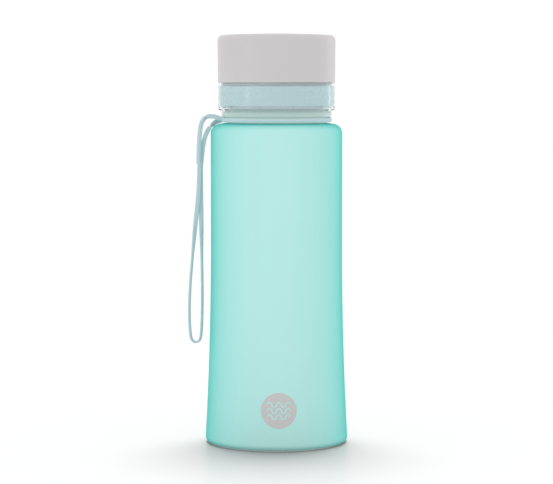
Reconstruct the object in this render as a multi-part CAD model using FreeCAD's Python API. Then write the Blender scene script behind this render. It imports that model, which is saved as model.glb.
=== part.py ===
"""Drinking bottle of about 0.6 litre with a screw lid and a wrist strap.

A clear glass bottle with a wide threaded neck carries a thin soft-touch coat from its heel to its
shoulder, and a round printed mark low on its front. The lid is built from a grey outer shell, a
white threaded liner, a clear skirt with a blue band moulded into it, and a sealing ring. One length
of flat ribbon makes the strap: a collar round the neck, an eye beside it, a sewn seam and a long
hanging loop.

Frame: millimetres, +Z up, origin at the centre of the foot, the printed mark faces -Y and the strap
hangs on the -X side. Each sub-part is written to parts/NODE.step.
"""

import FreeCAD
import Part

import math
import os

V = FreeCAD.Vector
UP = V(0, 0, 1)
TOUCH = 1e-4  # closer than this is the same place
cut_over = 1.0  # how far a cutting solid runs past what it cuts

# ---- bottle body ---------------------------------------------------------------------------
waist_r = 36.05  # outside of the coat where the body is straight
foot_spread = 3.25  # how far the flare would stand out at the floor if the heel were sharp
flare_top_z = 110.0  # the body is straight above this height
heel_round = 3.2
shoulder_top_z = 176.0  # where the shoulder meets the neck
shoulder_slope_deg = 9.0
shoulder_round = 5.2
coat_t = 0.2
coat_bottom_z = 0.8
coat_neck_gap = 0.4  # bare glass between the coat and the neck
wall_t = 2.3
base_t = 7.6
base_inner_round = 9.0
shoulder_wall_t = 2.8
throat_round = 2.0  # inside, where the shoulder turns up into the neck
stand_ring_w = 4.6  # flat ring that the bottle stands on
punt_rise = 2.4

# ---- neck ----------------------------------------------------------------------------------
neck_r = 26.6  # root of the thread
groove_step = 0.6  # the neck is this much wider in the strap's groove
groove_h = 3.1
neck_wall_t = 2.6
neck_h = 23.0  # from the bead to the rim
rim_round = 1.2
inner_rim_round = 1.0
bead_reach = 3.8  # how far the bead stands out from the neck
bead_t = 2.9
bead_round = 1.1
bead_slope = 0.7  # the bead's upper face falls away by this much

# ---- thread: two starts, right-handed -------------------------------------------------------
thread_starts = 2
thread_lead = 10.0
thread_height = 1.4
thread_rim_gap = 2.3  # plain neck between the thread and the rim
neck_thread_turns = 1.25
neck_ridge_base = 2.4
neck_ridge_crest = 1.2
lid_thread_turns = 1.0
lid_ridge_base = 2.0
lid_ridge_crest = 1.0
thread_radial_gap = 0.4
thread_axial_shift = 0.5  # the lid's ridge lies this far above the middle of the neck's gap
ridge_root = 0.35  # how far a ridge is sunk into the wall that carries it
ridge_step_deg = 15.0
ridge_runout_deg = 30.0
ridge_start = 0.02  # share of the height that a ridge starts and ends with

# ---- lid -----------------------------------------------------------------------------------
lid_bead_gap = 0.4  # between the closed lid and the neck's bead
skirt_h = 15.2
shell_h = 26.7
lid_top_flare = 0.2  # the shell is this much wider at its top
lid_crown = 0.8
lid_edge_round = 3.0
shell_wall_t = 1.7
shell_top_t = 2.2
shell_inner_round = 2.0
shell_ledge_t = 2.0
shell_ledge_w = 2.4
seam_gap = 0.3  # shadow gap between the shell and the skirt
seam_edge_round = 0.3  # edge rounding on both sides of that gap
skirt_lip_t = 1.4
skirt_edge_round = 1.7
skirt_wall_t = 0.5  # clear layer over the band
skirt_lip_clear = 0.9  # between the skirt's lip and the thread's crest
band_t = 1.4
band_below = 2.8  # clear skirt under the band
band_above = 1.6  # clear skirt over the band
fit_gap = 0.05  # between parts that are pressed or snapped together
liner_wall_t = 1.7
liner_foot_gap = 0.2
liner_top_t = 2.0
key_count = 10
key_w = 0.9
key_depth = 0.5
key_clear = 0.1
key_sink = 0.3  # how far a key runs into the liner's wall
rib_end_gap = 1.0  # between a rib's ends and the edges of the shell and the liner
gasket_t = 1.9
gasket_rim_gap = 0.1
gasket_side_gap = 0.35
plug_wall_t = 1.3
plug_reach = 3.6  # how far the plug ring reaches below the rim
plug_clear = 0.8  # between the plug ring and the neck's bore
small_round = 0.4  # edge rounding of gasket, collar and lips

# ---- printed mark ----------------------------------------------------------------------------
mark_z = 22.4
mark_r = 9.6
mark_turn_deg = 1.9  # how far round from the front the mark sits
mark_t = 0.1
wave_rows = 3
wave_bows = 5
wave_bow_r = 1.25
wave_line_w = 0.75
wave_pitch_z = 3.3

# ---- strap -----------------------------------------------------------------------------------
ribbon_w = 2.6
ribbon_t = 1.05
cord_d = 2 * math.sqrt(ribbon_w * ribbon_t / math.pi)  # round cord of the ribbon's section
collar_clear = 1.2  # between the neck and the collar
collar_plies = 2.2  # thickness of the collar in ribbon plies
collar_lift = 0.4  # how far the collar lies above the shoulder's top
collar_h = 2.4
seam_w = 4.8
seam_clear = 3.15  # between the waist and the seam
seam_left_x = -(waist_r + seam_clear + seam_w)
seam_depth = 2.8
seam_top_z = 168.0
seam_bottom_z = 153.8
seam_round = 0.7
strap_gap = 0.3  # between the eye, which stays at the neck, and the seam, which swings
eye_front_y = -1.5
eye_back_y = 1.5

# The eye's two strands, from the collar to the seam.
eye_upper = [
    (-30.6, eye_front_y, 177.7),
    (-33.6, eye_front_y, 178.9),
    (-37.2, eye_front_y * 0.9, 179.6),
    (-40.6, eye_front_y * 0.7, 177.9),
    (-42.3, eye_front_y * 0.4, 173.6),
    (-42.6, eye_front_y * 0.2, seam_top_z + strap_gap),
]
eye_lower = [
    (-30.6, eye_back_y, 177.5),
    (-34.3, eye_back_y, 176.5),
    (-37.8, eye_back_y * 0.8, 173.2),
    (-39.9, eye_back_y * 0.4, seam_top_z + strap_gap),
]

# The hanging loop, from the seam down one leg, round the fold and up the other leg.
loop_route = [
    (-40.65, 0.2, seam_bottom_z),
    (-40.75, 0.4, 144.0),
    (-41.1, 0.8, 131.0),
    (-41.4, 1.1, 117.0),
    (-41.3, 1.2, 102.0),
    (-41.05, 1.0, 88.0),
    (-41.0, 0.7, 76.0),
    (-41.15, 0.4, 67.0),
    (-41.45, 0.2, 61.0),
    (-41.9, 0.0, 56.6),
    (-44.45, -0.1, 55.0),
    (-47.0, -0.2, 56.6),
    (-47.65, -0.4, 61.0),
    (-48.05, -0.6, 67.5),
    (-48.1, -0.9, 77.0),
    (-47.5, -1.2, 90.0),
    (-46.35, -1.3, 104.0),
    (-45.1, -1.1, 118.0),
    (-43.95, -0.8, 131.0),
    (-43.2, -0.4, 143.5),
    (-42.9, -0.2, seam_bottom_z),
]
ROUTE_SHARE = 0.45  # share of the shorter run that an arc takes up

# ---- places that follow from the sizes above ---------------------------------------------------
foot_r = waist_r + foot_spread
punt_r = foot_r - heel_round - stand_ring_w
groove_r = neck_r + groove_step
bore_r = neck_r - neck_wall_t
bead_r = neck_r + bead_reach
bead_bottom_z = shoulder_top_z + groove_h
bead_top_z = bead_bottom_z + bead_t
rim_z = bead_top_z + neck_h
thread_crest_r = neck_r + thread_height
thread_pitch = thread_lead / thread_starts
neck_thread_z = rim_z - thread_rim_gap - neck_ridge_base / 2 - thread_lead * neck_thread_turns
lid_thread_z = neck_thread_z - thread_pitch / 2 + thread_axial_shift
liner_bore_r = thread_crest_r + thread_radial_gap
liner_r = liner_bore_r + liner_wall_t
skirt_bore_r = liner_r + fit_gap
band_r = skirt_bore_r + band_t
lid_r = band_r + fit_gap + skirt_wall_t
skirt_bottom_z = bead_top_z + lid_bead_gap
skirt_top_z = skirt_bottom_z + skirt_h
band_bottom_z = skirt_bottom_z + band_below
band_top_z = skirt_top_z - band_above
liner_bottom_z = skirt_bottom_z + skirt_lip_t + liner_foot_gap
gasket_bottom_z = rim_z + gasket_rim_gap
liner_roof_z = gasket_bottom_z + gasket_t + fit_gap
liner_top_z = liner_roof_z + liner_top_t
shell_bottom_z = skirt_top_z + seam_gap
shell_bore_r = lid_r - shell_wall_t
lid_top_z = shell_bottom_z + shell_h
plug_r = bore_r - plug_clear
collar_bottom_z = shoulder_top_z + collar_lift
collar_r = groove_r + collar_clear
collar_outer_r = collar_r + collar_plies * ribbon_t


# ---- helpers -----------------------------------------------------------------------------------
def rounded_outline(corners):
    """A closed wire in the XZ plane through (r, z, round) corners, each rounded by its own radius."""
    places = [V(r, 0, z) for r, z, _ in corners]
    edges = []
    count = len(corners)
    ends = []
    for i, (_, _, radius) in enumerate(corners):
        here = places[i]
        back = (places[i - 1] - here).normalize()
        ahead = (places[(i + 1) % count] - here).normalize()
        if radius <= 0:
            ends.append((here, None, here))
            continue
        half = back.getAngle(ahead) / 2
        reach = radius / math.tan(half)
        middle = here + (back + ahead).normalize() * (radius / math.sin(half) - radius)
        ends.append((here + back * reach, middle, here + ahead * reach))
    for i in range(count):
        start, middle, end = ends[i]
        if middle is not None:
            edges.append(Part.Arc(start, middle, end).toShape())
        following = ends[(i + 1) % count][0]
        if end.distanceToPoint(following) > TOUCH:
            edges.append(Part.LineSegment(end, following).toShape())
    return Part.Wire(edges)


def revolve(wire):
    return Part.Face(wire).revolve(V(0, 0, 0), UP, 360)


def turned(*corners):
    """A solid of revolution from (r, z) or (r, z, round) corners."""
    return revolve(rounded_outline([(*c, 0)[:3] if len(c) == 2 else c for c in corners]))


def tube(inner_r, outer_r, bottom_z, top_z):
    return turned((inner_r, bottom_z), (outer_r, bottom_z), (outer_r, top_z), (inner_r, top_z))


def circle_edges(solid, radius, z):
    """The circular edges of a solid of revolution at one radius and height."""
    found = []
    for edge in solid.Edges:
        box = edge.BoundBox
        level = abs(box.ZMax - z) < TOUCH and abs(box.ZMin - z) < TOUCH
        if level and abs(box.XMax - radius) < TOUCH:
            found.append(edge)
    return found


def solid_of(shape):
    """The one solid in a boolean's result."""
    assert len(shape.Solids) == 1, f"expected one solid, got {len(shape.Solids)}"
    return shape.Solids[0]


def write(node, shape):
    assert shape.isValid(), f"{node} is not valid"
    shape.exportStep(f"parts/{node}.step")
    print(f"{node}: {len(shape.Solids)} solid(s), {shape.Volume / 1000:.2f} cm3")


# ---- bottle ------------------------------------------------------------------------------------
def flare_centre():
    """Centre and radius of the arc that widens the body from its waist to its foot."""
    spread = foot_r - waist_r
    radius = (flare_top_z**2 + spread**2) / (2 * spread)
    return waist_r + radius, radius


def body_outside(inset):
    """The body's outside, moved in by inset, as a full solid from the floor to the shoulder's top."""
    centre_r, radius = flare_centre()
    radius += inset
    low_r = centre_r - math.sqrt(radius**2 - flare_top_z**2)
    mid_r = centre_r - math.sqrt(radius**2 - (flare_top_z / 2) ** 2)
    side_r = waist_r - inset
    slope = math.radians(shoulder_slope_deg)
    top_z = shoulder_top_z - inset / math.cos(slope)
    corner_z = top_z - (side_r - groove_r) * math.tan(slope)
    flare = Part.Arc(V(low_r, 0, 0), V(mid_r, 0, flare_top_z / 2), V(side_r, 0, flare_top_z))
    lines = [
        (V(side_r, 0, flare_top_z), V(side_r, 0, corner_z)),
        (V(side_r, 0, corner_z), V(groove_r, 0, top_z)),
        (V(groove_r, 0, top_z), V(0, 0, top_z)),
        (V(0, 0, top_z), V(0, 0, 0)),
        (V(0, 0, 0), V(low_r, 0, 0)),
    ]
    edges = [flare.toShape()] + [Part.LineSegment(a, b).toShape() for a, b in lines]
    solid = revolve(Part.Wire(edges))
    solid = solid.makeFillet(shoulder_round - inset, circle_edges(solid, side_r, corner_z))
    return solid.makeFillet(heel_round - inset, circle_edges(solid, low_r, 0))


def body_inside():
    """The hollow of the body and neck, open past the rim."""
    side_r = waist_r - coat_t - wall_t
    roof_z = shoulder_top_z - shoulder_wall_t
    side_top_z = roof_z - (side_r - bore_r) * math.tan(math.radians(shoulder_slope_deg))
    return turned(
        (0, base_t),
        (side_r, base_t, base_inner_round),
        (side_r, side_top_z, shoulder_round),
        (bore_r, roof_z, throat_round),
        (bore_r, rim_z + cut_over),
        (0, rim_z + cut_over),
    )


def punt():
    """The shallow dish under the foot."""
    radius = (punt_r**2 + punt_rise**2) / (2 * punt_rise)
    ball = Part.makeSphere(radius, V(0, 0, punt_rise - radius))
    return ball.common(Part.makeCylinder(punt_r, punt_rise + cut_over))


def ridge(wall_r, crest_r, base_w, crest_w, low_z, turns, start_deg):
    """One thread ridge, right-handed, that grows out of the wall and back into it at its ends."""
    sign = 1 if crest_r > wall_r else -1
    total = 360.0 * turns
    steps = int(round(total / ridge_step_deg))
    sections = []
    for i in range(steps + 1):
        turn = total * i / steps
        share = min(1.0, turn / ridge_runout_deg, (total - turn) / ridge_runout_deg)
        tip = wall_r + (crest_r - wall_r) * max(share, ridge_start)
        root = wall_r - sign * ridge_root
        z = low_z + thread_lead * turn / 360.0
        corners = [
            V(root, 0, z - base_w / 2),
            V(tip, 0, z - crest_w / 2),
            V(tip, 0, z + crest_w / 2),
            V(root, 0, z + base_w / 2),
        ]
        section = Part.makePolygon(corners + corners[:1])
        section.rotate(V(0, 0, 0), UP, start_deg + turn)
        sections.append(section)
    return Part.makeLoft(sections, True, False)


def ridges(wall_r, crest_r, base_w, crest_w, low_z, turns):
    return [
        ridge(wall_r, crest_r, base_w, crest_w, low_z, turns, 360.0 * start / thread_starts)
        for start in range(thread_starts)
    ]


def glass_body():
    body = body_outside(coat_t).cut(punt())
    inside_z = shoulder_top_z - shoulder_wall_t
    neck = turned(
        (0, inside_z),
        (groove_r, inside_z),
        (groove_r, bead_bottom_z, small_round),
        (bead_r, bead_bottom_z, bead_round),
        (bead_r, bead_top_z, bead_round),
        (neck_r, bead_top_z + bead_slope, small_round),
        (neck_r, rim_z, rim_round),
        (0, rim_z),
    )
    body = body.fuse(neck)
    threads = ridges(neck_r, thread_crest_r, neck_ridge_base, neck_ridge_crest, neck_thread_z,
                     neck_thread_turns)
    for one in threads:
        body = body.fuse(one)
    body = body.cut(body_inside())
    inner_lip = circle_edges(body, bore_r, rim_z)
    return solid_of(body.makeFillet(inner_rim_round, inner_lip))


def soft_touch_coat():
    shell = body_outside(0).cut(body_outside(coat_t))
    inner_r = groove_r + coat_neck_gap
    kept = tube(inner_r, foot_r + cut_over, coat_bottom_z, shoulder_top_z + cut_over)
    return solid_of(shell.common(kept))


def wave(z):
    """A row of half rings, bowing up and down in turn, that cuts a wavy line through the mark."""
    bows = []
    front_y = -foot_r - cut_over
    for i in range(wave_bows):
        x = (i - (wave_bows - 1) / 2) * 2 * wave_bow_r
        centre = V(x, front_y, z)
        ring = Part.makeCylinder(wave_bow_r + wave_line_w / 2, foot_r, centre, V(0, 1, 0))
        ring = ring.cut(Part.makeCylinder(wave_bow_r - wave_line_w / 2, foot_r, centre, V(0, 1, 0)))
        low_z = z if i % 2 == 0 else z - 2 * wave_bow_r
        corner = V(x - 2 * wave_bow_r, front_y, low_z)
        half = Part.makeBox(4 * wave_bow_r, foot_r, 2 * wave_bow_r, corner)
        bows.append(ring.common(half))
    return bows[0].multiFuse(bows[1:])


def printed_mark():
    ink = body_outside(-mark_t).cut(body_outside(0))
    disc = Part.makeCylinder(mark_r, foot_r, V(0, -foot_r - cut_over, mark_z), V(0, 1, 0))
    ink = ink.common(disc)
    for row in range(wave_rows):
        ink = ink.cut(wave(mark_z + (row - (wave_rows - 1) / 2) * wave_pitch_z))
    ink = solid_of(ink)
    ink.rotate(V(0, 0, 0), UP, mark_turn_deg)
    return ink


# ---- lid ---------------------------------------------------------------------------------------
def lid_shell():
    edge_z = lid_top_z - lid_crown
    top_r = lid_r + lid_top_flare
    outer = turned(
        (0, shell_bottom_z),
        (lid_r, shell_bottom_z, seam_edge_round),
        (top_r, edge_z, lid_edge_round),
        (0, edge_z),
    )
    crown_r = top_r - lid_edge_round
    ball_r = (crown_r**2 + lid_crown**2) / (2 * lid_crown)
    ball = Part.makeSphere(ball_r, V(0, 0, lid_top_z - ball_r))
    outer = outer.fuse(ball.common(Part.makeCylinder(crown_r, lid_crown + cut_over, V(0, 0, edge_z))))
    roof_z = edge_z - shell_top_t
    ledge_z = liner_top_z + fit_gap
    hollow = turned(
        (0, shell_bottom_z - cut_over),
        (shell_bore_r, shell_bottom_z - cut_over),
        (shell_bore_r, ledge_z),
        (shell_bore_r - shell_ledge_w, ledge_z),
        (shell_bore_r - shell_ledge_w, ledge_z + shell_ledge_t),
        (shell_bore_r, ledge_z + shell_ledge_t + shell_ledge_w / 2),
        (shell_bore_r, roof_z, shell_inner_round),
        (0, roof_z),
    )
    return solid_of(outer.cut(hollow).removeSplitter())


def keys(inner_r, outer_r, width, bottom_z, top_z):
    """Upright keys round the liner's foot, spaced evenly and symmetric about the front."""
    found = []
    for i in range(key_count):
        key = Part.makeBox(outer_r - inner_r, width, top_z - bottom_z, V(inner_r, -width / 2, bottom_z))
        key.rotate(V(0, 0, 0), UP, -90 + 360.0 / key_count * (i + 0.5))
        found.append(key)
    return found


def lid_skirt():
    lip_r = thread_crest_r + skirt_lip_clear
    pocket_r = lid_r - skirt_wall_t
    skirt = turned(
        (lip_r, skirt_bottom_z, small_round),
        (lid_r, skirt_bottom_z, skirt_edge_round),
        (lid_r, skirt_top_z, seam_edge_round),
        (skirt_bore_r, skirt_top_z),
        (skirt_bore_r, band_top_z),
        (pocket_r, band_top_z),
        (pocket_r, band_bottom_z),
        (skirt_bore_r, band_bottom_z),
        (skirt_bore_r, skirt_bottom_z + skirt_lip_t),
        (lip_r, skirt_bottom_z + skirt_lip_t),
    )
    slots = keys(liner_r - key_sink, liner_r + key_depth + key_clear, key_w + 2 * key_clear,
                 skirt_bottom_z + skirt_lip_t, band_bottom_z)
    for slot in slots:
        skirt = skirt.cut(slot)
    return solid_of(skirt)


def lid_band():
    return tube(skirt_bore_r, band_r, band_bottom_z + fit_gap, band_top_z - fit_gap)


def lid_liner():
    shell = turned(
        (liner_bore_r, liner_bottom_z, small_round),
        (liner_r, liner_bottom_z),
        (liner_r, liner_top_z, small_round),
        (0, liner_top_z),
        (0, liner_roof_z),
        (plug_r - plug_wall_t, liner_roof_z),
        (plug_r - plug_wall_t, rim_z - plug_reach),
        (plug_r, rim_z - plug_reach, small_round),
        (plug_r, liner_roof_z),
        (liner_bore_r, liner_roof_z),
    )
    threads = ridges(liner_bore_r, neck_r + thread_radial_gap, lid_ridge_base, lid_ridge_crest,
                     lid_thread_z, lid_thread_turns)
    for one in threads:
        shell = shell.fuse(one)
    root_r = liner_r - key_sink
    foot_keys = keys(root_r, liner_r + key_depth, key_w, liner_bottom_z, band_bottom_z - fit_gap)
    ribs = keys(root_r, shell_bore_r, key_w, shell_bottom_z + rib_end_gap, liner_top_z - rib_end_gap)
    for one in foot_keys + ribs:
        shell = shell.fuse(one)
    return solid_of(shell)


def lid_gasket():
    top_z = gasket_bottom_z + gasket_t
    inner_r = plug_r + fit_gap
    outer_r = liner_bore_r - gasket_side_gap
    return turned(
        (inner_r, gasket_bottom_z, small_round),
        (outer_r, gasket_bottom_z, small_round),
        (outer_r, top_z, small_round),
        (inner_r, top_z, small_round),
    )


# ---- strap -------------------------------------------------------------------------------------
def cord_route(points):
    """Runs joined by arcs that touch them, each arc as large as its shorter run allows."""
    places = [V(*p) for p in points]
    edges = []
    radii = []
    at = places[0]
    for i in range(1, len(places) - 1):
        here = places[i]
        back = places[i - 1] - here
        ahead = places[i + 1] - here
        reach = ROUTE_SHARE * min(back.Length, ahead.Length)
        back.normalize()
        ahead.normalize()
        half = back.getAngle(ahead) / 2
        radius = reach * math.tan(half)
        middle = here + (back + ahead).normalize() * (radius / math.sin(half) - radius)
        start = here + back * reach
        end = here + ahead * reach
        edges.append(Part.LineSegment(at, start).toShape())
        edges.append(Part.Arc(start, middle, end).toShape())
        radii.append(round(radius, 1))
        at = end
    edges.append(Part.LineSegment(at, places[-1]).toShape())
    return Part.Wire(edges), radii


def cord(points, label):
    """A round cord along a route, with its length and its smallest bends printed."""
    wire, radii = cord_route(points)
    start = V(*points[0])
    along = (V(*points[1]) - start).normalize()
    section = Part.Wire(Part.makeCircle(cord_d / 2, start, along))
    solid = wire.makePipeShell([section], True, False)
    share = solid.Volume / (math.pi * cord_d**2 / 4 * wire.Length)
    print(f"{label}: {wire.Length:.1f} mm long, radii {radii}, volume share {share:.4f}")
    return solid


def strap_collar():
    ring = turned(
        (collar_r, collar_bottom_z, small_round),
        (collar_outer_r, collar_bottom_z, small_round),
        (collar_outer_r, collar_bottom_z + collar_h, small_round),
        (collar_r, collar_bottom_z + collar_h, small_round),
    )
    upper = cord(eye_upper, "upper strand of the eye")
    lower = cord(eye_lower, "lower strand of the eye")
    return solid_of(ring.fuse(upper).fuse(lower))


def strap_seam():
    block = Part.makeBox(seam_w, seam_depth, seam_top_z - seam_bottom_z,
                         V(seam_left_x, -seam_depth / 2, seam_bottom_z))
    upright = [e for e in block.Edges if e.BoundBox.ZLength > 1]
    return solid_of(block.makeFillet(seam_round, upright))


def strap_loop():
    return solid_of(cord(loop_route, "hanging loop"))


def main():
    os.makedirs("parts", exist_ok=True)
    write("glass_body", glass_body())
    write("soft_touch_coat", soft_touch_coat())
    write("printed_mark", printed_mark())
    write("lid_shell", lid_shell())
    write("lid_skirt", lid_skirt())
    write("lid_band", lid_band())
    write("lid_liner", lid_liner())
    write("lid_gasket", lid_gasket())
    write("strap_collar", strap_collar())
    write("strap_seam", strap_seam())
    write("strap_loop", strap_loop())


main()
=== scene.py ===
"""Looks of a coated glass drinking bottle with a screw lid and a ribbon wrist strap.

The rigid parts are the frame's own, with a finish each. The strap's cords are replaced by flat woven
ribbon: a collar round the neck, two strands that meet beside it, and the hanging loop. Metres, +Z up.
"""

import math

import bpy
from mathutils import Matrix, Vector


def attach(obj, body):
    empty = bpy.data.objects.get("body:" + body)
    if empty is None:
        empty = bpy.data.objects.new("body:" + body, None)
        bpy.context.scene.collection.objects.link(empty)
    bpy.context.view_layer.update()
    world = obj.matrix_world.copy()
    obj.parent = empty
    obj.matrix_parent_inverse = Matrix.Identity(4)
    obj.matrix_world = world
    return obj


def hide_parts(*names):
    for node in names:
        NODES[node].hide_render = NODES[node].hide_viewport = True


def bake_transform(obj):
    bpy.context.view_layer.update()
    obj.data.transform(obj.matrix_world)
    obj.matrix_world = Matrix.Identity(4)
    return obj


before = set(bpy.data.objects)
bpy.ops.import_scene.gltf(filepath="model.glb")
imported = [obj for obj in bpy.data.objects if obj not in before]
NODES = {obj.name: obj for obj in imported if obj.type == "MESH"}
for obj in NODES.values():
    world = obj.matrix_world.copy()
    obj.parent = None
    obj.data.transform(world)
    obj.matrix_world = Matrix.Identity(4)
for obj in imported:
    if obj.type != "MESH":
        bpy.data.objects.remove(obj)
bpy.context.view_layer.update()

MM = 0.001

# ---- strap sizes ---------------------------------------------------------------------------
RIBBON_W = 2.5 * MM
RIBBON_T = 1.0 * MM
CORNER_SHARE = 0.8  # radius of the ribbon's rounded edges, as a share of half its thickness
CORNER_POINTS = 4  # points on each rounded corner of the section

LINE_RESOLUTION = 16  # points between two points of a route
SMOOTH_ANGLE = 40  # degrees

COLLAR_R = 29.75 * MM
COLLAR_Z = 0.1776
COLLAR_STEPS = 144

TWIST_TOP_Z = 0.1300  # the loop's face looks to the front above this height
TWIST_BOTTOM_Z = 0.1010  # and it is turned well to the side below this one
TWIST_TURN = 72  # degrees

STRAND_TURN_X = -0.032  # the strands' width starts to turn from upright here
STRAND_TURN_LENGTH = 0.006  # and it has turned this far out from there
STRAND_RISE_NEAR = 1.2  # how steeply the width points up beside the collar
STRAND_RISE_FAR = 0.6  # and how steeply it does past the turn

LOOP_ROUTE = [
    (-0.04165, 0.0004, 0.1545),
    (-0.0416, 0.0005, 0.1440),
    (-0.0414, 0.0005, 0.1310),
    (-0.0413, 0.0005, 0.1170),
    (-0.0411, 0.0005, 0.1020),
    (-0.0409, 0.0004, 0.0880),
    (-0.0409, 0.0003, 0.0760),
    (-0.0411, 0.0002, 0.0670),
    (-0.0414, 0.0001, 0.0610),
    (-0.0419, 0.0, 0.0564),
    (-0.04445, 0.0, 0.0546),
    (-0.0470, -0.0001, 0.0564),
    (-0.0476, -0.0002, 0.0610),
    (-0.0480, -0.0003, 0.0675),
    (-0.0480, -0.0004, 0.0770),
    (-0.0473, -0.0005, 0.0900),
    (-0.0461, -0.0006, 0.1040),
    (-0.0448, -0.0006, 0.1180),
    (-0.0433, -0.0006, 0.1310),
    (-0.0424, -0.0006, 0.1435),
    (-0.0421, -0.0006, 0.1545),
]
TAIL_ROUTE = [
    (-0.0290, -0.0030, 0.1775),
    (-0.0322, -0.0022, 0.1788),
    (-0.0356, -0.0016, 0.1797),
    (-0.0391, -0.0012, 0.1791),
    (-0.0412, -0.0011, 0.1759),
    (-0.0419, -0.0010, 0.1715),
    (-0.0423, -0.0010, 0.1665),
    (-0.0426, -0.0010, 0.1605),
    (-0.0427, -0.0010, 0.1535),
]
NECK_ROUTE = [
    (-0.0290, 0.0030, 0.1775),
    (-0.0324, 0.0022, 0.1770),
    (-0.0351, 0.0014, 0.1752),
    (-0.0374, 0.0008, 0.1724),
    (-0.0391, 0.0005, 0.1687),
    (-0.0402, 0.0003, 0.1640),
    (-0.0409, 0.0003, 0.1590),
    (-0.0414, 0.0003, 0.1530),
]

# ---- camera, floor and light sizes -----------------------------------------------------------
SENSOR_W = 36.0  # millimetres
LENS = 147.28752  # millimetres
CAMERA_BACK = 1.24104
CAMERA_UP = 0.19997
CAMERA_TILT = 4.26  # degrees below level
CAMERA_SHIFT_Y = 0.0095479  # share of the frame's width
CLIP_START = 0.05
FLOOR_SIZE = 12
ROUND_LIGHT = 1.05  # the white that lights the bottle from all round
OVERHEAD_LIGHT = 6.3  # on the floor alone
OVERHEAD_SPREAD = 32  # degrees
OVERHEAD_LEAN = 16  # degrees that the overhead light comes from behind
STRIP_W = 0.08
STRIP_H = 0.7
STRIP_BACK = 1.1  # from the bottle's axis
STRIP_POWER = 0.5
STRIP_TURNS = {"strip_left": -59, "strip_right": 128}  # degrees round the bottle from the front

# ---- shader numbers ------------------------------------------------------------------------
NOISE_LOW = 0.3  # most of a noise texture lies between these two
NOISE_HIGH = 0.7
RIB_SCALE = 3.2  # ribs across the ribbon
WARP_SCALE = 2.4  # threads along it


# ---- shader helpers ------------------------------------------------------------------------
def new_material(name):
    """A material with a Principled shader, and its nodes, links and shader."""
    material = bpy.data.materials.new(name)
    material.use_nodes = True
    tree = material.node_tree
    tree.nodes.clear()
    output = tree.nodes.new("ShaderNodeOutputMaterial")
    shader = tree.nodes.new("ShaderNodeBsdfPrincipled")
    tree.links.new(shader.outputs["BSDF"], output.inputs["Surface"])
    return material, tree, shader


def noise(tree, scale, detail=3.0, stretch=None):
    """A noise texture on Object coordinates, stretched if asked."""
    place = tree.nodes.new("ShaderNodeTexCoord")
    source = place.outputs["Object"]
    if stretch:
        mapping = tree.nodes.new("ShaderNodeMapping")
        mapping.inputs["Scale"].default_value = stretch
        tree.links.new(source, mapping.inputs["Vector"])
        source = mapping.outputs["Vector"]
    texture = tree.nodes.new("ShaderNodeTexNoise")
    texture.inputs["Scale"].default_value = scale
    texture.inputs["Detail"].default_value = detail
    tree.links.new(source, texture.inputs["Vector"])
    return texture.outputs["Fac"]


def spread(tree, value, low, high):
    """Maps most of a noise texture's range onto low to high."""
    reach = tree.nodes.new("ShaderNodeMapRange")
    reach.inputs["From Min"].default_value = NOISE_LOW
    reach.inputs["From Max"].default_value = NOISE_HIGH
    reach.inputs["To Min"].default_value = low
    reach.inputs["To Max"].default_value = high
    tree.links.new(value, reach.inputs["Value"])
    return reach.outputs["Result"]


def tint(tree, shader, value, first, second):
    """Colours a shader with two colours, blended by a value."""
    blend = tree.nodes.new("ShaderNodeMix")
    blend.data_type = "RGBA"
    blend.inputs["A"].default_value = (*first, 1)
    blend.inputs["B"].default_value = (*second, 1)
    tree.links.new(value, blend.inputs["Factor"])
    tree.links.new(blend.outputs["Result"], shader.inputs["Base Color"])


def roughen(tree, shader, scale, low, high):
    """Varies a shader's roughness between low and high by a noise texture."""
    tree.links.new(spread(tree, noise(tree, scale), low, high), shader.inputs["Roughness"])


def bump(tree, shader, height, distance):
    """Raises the surface by a height texture, as far as the distance at most."""
    node = tree.nodes.new("ShaderNodeBump")
    node.inputs["Strength"].default_value = 1.0
    node.inputs["Distance"].default_value = distance
    tree.links.new(height, node.inputs["Height"])
    tree.links.new(node.outputs["Normal"], shader.inputs["Normal"])


# ---- materials -----------------------------------------------------------------------------
def clear_glass():
    """Glass with the body colour of its thick neck and rim, and a faint painted glow: emission that
    stands in for the light inside it.
    """
    material, tree, shader = new_material("clear_glass")
    tint(tree, shader, noise(tree, 30.0, 2.0), (0.27, 0.42, 0.40), (0.31, 0.46, 0.44))
    shader.inputs["IOR"].default_value = 1.3
    shader.inputs["Transmission Weight"].default_value = 0.35
    # Painted glow: the glass emits a little light of its own, standing in for the light that reaches
    # inside it; it is no lamp.
    shader.inputs["Emission Color"].default_value = (0.86, 0.91, 0.90, 1)
    shader.inputs["Emission Strength"].default_value = 0.22
    roughen(tree, shader, 90.0, 0.10, 0.18)
    bump(tree, shader, noise(tree, 60.0, 1.0, stretch=(1, 1, 0.4)), 0.06 * MM)
    return material


def mint_coat():
    """Soft-touch coat: its colour deepens where it is seen edge on."""
    material, tree, shader = new_material("mint_coat")
    tint(tree, shader, noise(tree, 25.0, 2.0), (0.75, 0.915, 0.895), (0.78, 0.93, 0.91))
    roughen(tree, shader, 900.0, 0.42, 0.52)
    shader.inputs["Coat Weight"].default_value = 1.0
    shader.inputs["Coat Tint"].default_value = (0.62, 0.87, 0.85, 1)
    shader.inputs["Coat IOR"].default_value = 1.03
    shader.inputs["Coat Roughness"].default_value = 0.45
    shader.inputs["Sheen Weight"].default_value = 1.0
    shader.inputs["Sheen Tint"].default_value = (0.0, 0.26, 0.22, 1)
    shader.inputs["Sheen Roughness"].default_value = 0.5
    bump(tree, shader, noise(tree, 2500.0, 4.0), 0.01 * MM)
    return material


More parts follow.
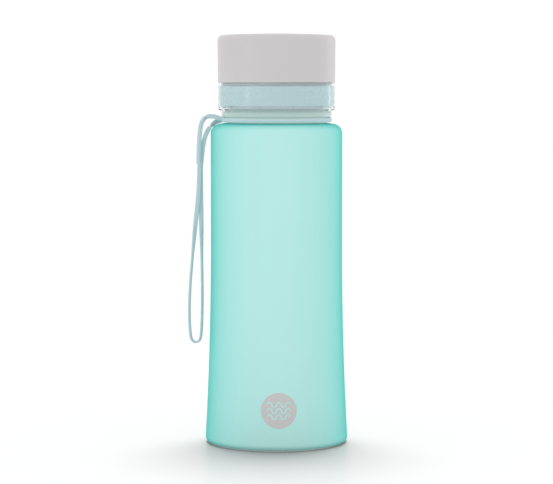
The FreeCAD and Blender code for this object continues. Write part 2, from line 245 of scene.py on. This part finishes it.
def grey_ink():
    """Matt ink of the printed mark."""
    material, tree, shader = new_material("grey_ink")
    tint(tree, shader, noise(tree, 1200.0), (0.55, 0.535, 0.545), (0.575, 0.56, 0.57))
    roughen(tree, shader, 1500.0, 0.45, 0.6)
    bump(tree, shader, noise(tree, 3000.0), 0.01 * MM)
    return material


def grey_shell():
    """Satin plastic of the cap, with a fine moulded grain."""
    material, tree, shader = new_material("grey_shell")
    tint(tree, shader, noise(tree, 40.0, 2.0), (0.550, 0.532, 0.536), (0.570, 0.552, 0.556))
    roughen(tree, shader, 1800.0, 0.34, 0.42)
    bump(tree, shader, noise(tree, 3500.0, 5.0), 0.02 * MM)
    return material


def blue_band():
    """Pale blue plastic of the ring, seen through the tinted skirt."""
    material, tree, shader = new_material("blue_band")
    tint(tree, shader, noise(tree, 60.0, 2.0), (0.715, 0.885, 0.885), (0.74, 0.91, 0.91))
    roughen(tree, shader, 700.0, 0.22, 0.32)
    bump(tree, shader, noise(tree, 1500.0), 0.008 * MM)
    return material


def clear_skirt():
    """Clear plastic of the lid's skirt, with a faint cool tint and a gloss layer."""
    material, tree, shader = new_material("clear_skirt")
    shader.inputs["Base Color"].default_value = (0.85, 0.90, 0.92, 1)
    shader.inputs["Coat Weight"].default_value = 0.4
    shader.inputs["Coat Roughness"].default_value = 0.12
    shader.inputs["IOR"].default_value = 1.06
    shader.inputs["Transmission Weight"].default_value = 1.0
    roughen(tree, shader, 300.0, 0.03, 0.09)
    bump(tree, shader, noise(tree, 200.0), 0.01 * MM)
    return material


def white_liner():
    """White plastic of the threaded cup inside the lid."""
    material, tree, shader = new_material("white_liner")
    tint(tree, shader, noise(tree, 50.0), (0.80, 0.82, 0.82), (0.84, 0.86, 0.86))
    roughen(tree, shader, 900.0, 0.3, 0.42)
    bump(tree, shader, noise(tree, 2000.0), 0.01 * MM)
    return material


def silicone():
    """Soft, slightly see-through rubber of the sealing ring."""
    material, tree, shader = new_material("silicone")
    tint(tree, shader, noise(tree, 80.0), (0.78, 0.81, 0.82), (0.84, 0.86, 0.87))
    roughen(tree, shader, 1200.0, 0.5, 0.65)
    shader.inputs["Subsurface Weight"].default_value = 0.3
    shader.inputs["Subsurface Radius"].default_value = (0.002, 0.002, 0.002)
    bump(tree, shader, noise(tree, 2500.0), 0.01 * MM)
    return material


def wave(tree, place, direction, scale):
    """A wave texture on the ribbon's own UV map."""
    texture = tree.nodes.new("ShaderNodeTexWave")
    texture.bands_direction = direction
    texture.inputs["Scale"].default_value = scale
    tree.links.new(place.outputs["UV"], texture.inputs["Vector"])
    return texture


def woven_ribbon():
    """Flat woven ribbon: ribs across it, crossed by the threads that run along it."""
    material, tree, shader = new_material("woven_ribbon")
    place = tree.nodes.new("ShaderNodeTexCoord")
    ribs = wave(tree, place, "Y", RIB_SCALE)
    ribs.inputs["Distortion"].default_value = 0.6
    warp = wave(tree, place, "X", WARP_SCALE)
    weave = tree.nodes.new("ShaderNodeMath")
    weave.operation = "MULTIPLY"
    tree.links.new(ribs.outputs["Fac"], weave.inputs[0])
    tree.links.new(warp.outputs["Fac"], weave.inputs[1])
    tint(tree, shader, weave.outputs["Value"], (0.50, 0.665, 0.71), (0.64, 0.785, 0.82))
    roughen(tree, shader, 800.0, 0.7, 0.85)
    shader.inputs["Sheen Weight"].default_value = 0.3
    bump(tree, shader, weave.outputs["Value"], 0.08 * MM)
    return material


def white_floor():
    """Matt floor, which the overhead light brings up to the white behind the bottle."""
    material, tree, shader = new_material("white_floor")
    shader.inputs["Base Color"].default_value = (0.335, 0.335, 0.335, 1)
    roughen(tree, shader, 4.0, 0.3, 0.36)
    shader.inputs["Specular IOR Level"].default_value = 0.05
    return material


# ---- ribbon --------------------------------------------------------------------------------
def route_line(name, route):
    """The smooth line of a route, as points read from its NURBS spline."""
    curve = bpy.data.curves.new(name + "_line", "CURVE")
    curve.dimensions = "3D"
    curve.resolution_u = LINE_RESOLUTION
    spline = curve.splines.new("NURBS")
    spline.points.add(len(route) - 1)
    for point, place in zip(spline.points, route):
        point.co = (*place, 1)
    spline.order_u = 3
    spline.use_endpoint_u = True
    holder = bpy.data.objects.new(name + "_line", curve)
    bpy.context.scene.collection.objects.link(holder)
    bpy.context.view_layer.update()
    mesh = bpy.data.meshes.new_from_object(holder)
    line = [vertex.co.copy() for vertex in mesh.vertices]
    bpy.data.objects.remove(holder)
    bpy.data.meshes.remove(mesh)
    bpy.data.curves.remove(curve)
    return line


def collar_line():
    """The closed circle that the collar follows."""
    ring = []
    for i in range(COLLAR_STEPS):
        turn = 2 * math.pi * i / COLLAR_STEPS
        ring.append(Vector((COLLAR_R * math.cos(turn), COLLAR_R * math.sin(turn), COLLAR_Z)))
    return ring


def ribbon_section():
    """Points of the ribbon's rounded cross-section: across, through."""
    round_r = RIBBON_T / 2 * CORNER_SHARE
    corner_x = RIBBON_W / 2 - round_r
    corner_y = RIBBON_T / 2 - round_r
    step = 90 / (CORNER_POINTS - 1)
    points = []
    for across, through, start in ((1, 1, 0), (-1, 1, 90), (-1, -1, 180), (1, -1, 270)):
        for i in range(CORNER_POINTS):
            turn = math.radians(start + i * step)
            x = across * corner_x + round_r * math.cos(turn)
            y = through * corner_y + round_r * math.sin(turn)
            points.append((x, y))
    return points


def ribbon_rings(line, section, face_of, closed):
    """The section set square to the line at each of its points."""
    rings = []
    count = len(line)
    for i, place in enumerate(line):
        before = line[i - 1] if i or closed else line[0]
        after = line[(i + 1) % count] if i < count - 1 or closed else line[-1]
        along = (after - before).normalized()
        across = face_of(place)
        across = (across - along * across.dot(along)).normalized()
        through = along.cross(across)
        rings.append([place + across * x + through * y for x, y in section])
    return rings


def ribbon(name, line, face_of, closed=False):
    """Sweeps the ribbon along a line. face_of gives the across direction wanted at a place.

    Its UV map runs once round the section in U, and in V along the line in ribbon widths.
    """
    section = ribbon_section()
    rings = ribbon_rings(line, section, face_of, closed)
    width = len(section)
    count = len(line)
    spans = count if closed else count - 1
    faces = []
    marks = []
    travelled = 0.0
    for i in range(spans):
        j = (i + 1) % count
        length = (line[j] - line[i]).length
        here = travelled / RIBBON_W
        there = (travelled + length) / RIBBON_W
        travelled += length
        for k in range(width):
            m = (k + 1) % width
            left = k / width
            right = (k + 1) / width
            faces.append((i * width + k, i * width + m, j * width + m, j * width + k))
            marks += [(left, here), (right, here), (right, there), (left, there)]
    if not closed:
        faces.append(tuple(range(width))[::-1])
        faces.append(tuple((count - 1) * width + k for k in range(width)))
        marks += [(0.5, 0.0)] * width * 2
    mesh = bpy.data.meshes.new(name)
    mesh.from_pydata([tuple(point) for ring in rings for point in ring], [], faces)
    layer = mesh.uv_layers.new(name="ribbon")
    for corner, mark in zip(layer.data, marks):
        corner.uv = mark
    piece = bpy.data.objects.new(name, mesh)
    bpy.context.scene.collection.objects.link(piece)
    bpy.ops.object.select_all(action="DESELECT")
    piece.select_set(True)
    bpy.context.view_layer.objects.active = piece
    bpy.ops.object.mode_set(mode="EDIT")
    bpy.ops.mesh.select_all(action="SELECT")
    bpy.ops.mesh.normals_make_consistent(inside=False)
    bpy.ops.object.mode_set(mode="OBJECT")
    bpy.ops.object.shade_smooth_by_angle(angle=math.radians(SMOOTH_ANGLE))
    return piece


def collar_face(place):
    """Across direction on the collar: upright all round."""
    return Vector((0, 0, 1))


def hanging_face(place):
    """Across direction on the hanging loop: it turns from the front to the side on the way down."""
    share = (TWIST_TOP_Z - place.z) / (TWIST_TOP_Z - TWIST_BOTTOM_Z)
    share = min(1.0, max(0.0, share))
    turn = math.radians(TWIST_TURN) * share * share * (3 - 2 * share)
    return Vector((math.cos(turn), math.sin(turn), 0))


def strand_face(place):
    """Across direction on the strands: upright beside the collar, facing the front below it."""
    share = min(1.0, max(0.0, (STRAND_TURN_X - place.x) / STRAND_TURN_LENGTH))
    rise = STRAND_RISE_NEAR + (STRAND_RISE_FAR - STRAND_RISE_NEAR) * share
    return Vector((share, 0, rise)).normalized()


def build_strap(material):
    """The four ribbon pieces of the strap, and the bodies that they move with."""
    collar = ribbon("ribbon_collar", collar_line(), collar_face, closed=True)
    tail = ribbon("ribbon_tail", route_line("ribbon_tail", TAIL_ROUTE), strand_face)
    neck = ribbon("ribbon_neck", route_line("ribbon_neck", NECK_ROUTE), strand_face)
    loop_line = route_line("ribbon_loop", LOOP_ROUTE)
    loop = ribbon("ribbon_loop", loop_line, hanging_face)
    for piece in (collar, tail, neck, loop):
        piece.data.materials.append(material)
    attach(collar, "strap_neck")
    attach(loop, "strap_hanging")
    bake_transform(tail)
    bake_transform(neck)
    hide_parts("strap_collar")
    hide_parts("strap_seam")
    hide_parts("strap_loop")


# ---- finishes on the rigid parts -------------------------------------------------------------
FINISHES = {
    "glass_body": clear_glass,
    "soft_touch_coat": mint_coat,
    "printed_mark": grey_ink,
    "lid_shell": grey_shell,
    "lid_skirt": clear_skirt,
    "lid_band": blue_band,
    "lid_liner": white_liner,
    "lid_gasket": silicone,
}


def finish_parts():
    """Gives each rigid part its finish."""
    for name, make_material in FINISHES.items():
        node = NODES[name]
        node.data.materials.clear()
        node.data.materials.append(make_material())


# ---- camera, floor and light -------------------------------------------------------------------
def build_camera():
    """A long lens in front of the bottle, about level with its lid and tilted down."""
    data = bpy.data.cameras.new("camera")
    data.sensor_width = SENSOR_W
    data.lens = LENS
    data.shift_y = CAMERA_SHIFT_Y
    data.clip_start = CLIP_START
    camera = bpy.data.objects.new("camera", data)
    camera.location = (0, -CAMERA_BACK, CAMERA_UP)
    camera.rotation_euler = (math.radians(90 - CAMERA_TILT), 0, 0)
    bpy.context.scene.collection.objects.link(camera)
    bpy.context.scene.camera = camera


def build_floor():
    """A wide floor under the bottle."""
    bpy.ops.object.select_all(action="DESELECT")
    bpy.ops.mesh.primitive_plane_add(size=FLOOR_SIZE, location=(0, 0, 0))
    floor = bpy.context.object
    floor.name = "floor"
    floor.data.materials.append(white_floor())
    return floor


def strip(name, turn):
    """A tall narrow softbox that faces the bottle's axis, turned round it from the front."""
    data = bpy.data.lights.new(name, "AREA")
    data.shape = "RECTANGLE"
    data.size = STRIP_W
    data.size_y = STRIP_H
    data.energy = STRIP_POWER
    lamp = bpy.data.objects.new(name, data)
    angle = math.radians(turn)
    height = STRIP_H / 2
    lamp.location = (STRIP_BACK * math.sin(angle), -STRIP_BACK * math.cos(angle), height)
    facing = Vector((0, 0, height)) - lamp.location
    lamp.rotation_euler = facing.to_track_quat("-Z", "Y").to_euler()
    bpy.context.scene.collection.objects.link(lamp)


def build_light(floor):
    """White light from all round, a soft one from above for the floor alone, and two strips."""
    world = bpy.data.worlds.new("studio")
    world.use_nodes = True
    background = world.node_tree.nodes["Background"]
    background.inputs["Color"].default_value = (1, 1, 1, 1)
    background.inputs["Strength"].default_value = ROUND_LIGHT
    bpy.context.scene.world = world
    overhead = bpy.data.lights.new("overhead", "SUN")
    overhead.energy = OVERHEAD_LIGHT
    overhead.angle = math.radians(OVERHEAD_SPREAD)
    lamp = bpy.data.objects.new("overhead", overhead)
    lamp.rotation_euler = (math.radians(-OVERHEAD_LEAN), 0, 0)
    bpy.context.scene.collection.objects.link(lamp)
    lit = bpy.data.collections.new("lit_from_above")
    lit.objects.link(floor)
    lamp.light_linking.receiver_collection = lit
    for name, turn in STRIP_TURNS.items():
        strip(name, turn)
    bpy.context.scene.view_settings.view_transform = "Standard"


build_camera()
build_strap(woven_ribbon())
finish_parts()
build_light(build_floor())
